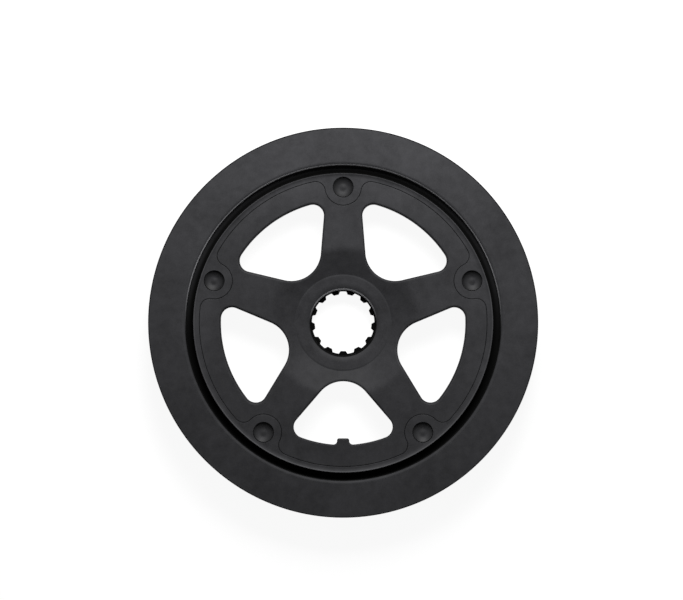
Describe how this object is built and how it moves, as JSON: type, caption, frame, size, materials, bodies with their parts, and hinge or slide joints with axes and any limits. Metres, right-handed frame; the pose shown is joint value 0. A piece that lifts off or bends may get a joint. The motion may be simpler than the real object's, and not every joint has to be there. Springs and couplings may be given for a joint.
{
  "type": "bicycle chainring",
  "caption": "Bicycle chainring with a dished, splined spider, a steel toothed ring behind its rim and a broad flat chain guard in front, all riveted together.",
  "frame": {"origin": "centre of the hub's back face, which is the lowest plane when the chainring lies on its back", "axes": "+Z along the spindle axis towards the outer side of the chainring; +Y towards one rivet, opposite the small tab"},
  "size_m": [0.172, 0.172, 0.0161],
  "materials": {
    "black_aluminium": "matte",
    "black_nylon": "matte",
    "black_steel": "satin",
    "rivet_steel": "satin"
  },
  "bodies": {
    "root": {"spider": "black_aluminium", "chain_guard": "black_nylon", "toothed_ring": "black_steel", "rivets": "rivet_steel"}
  },
  "joints": []
}
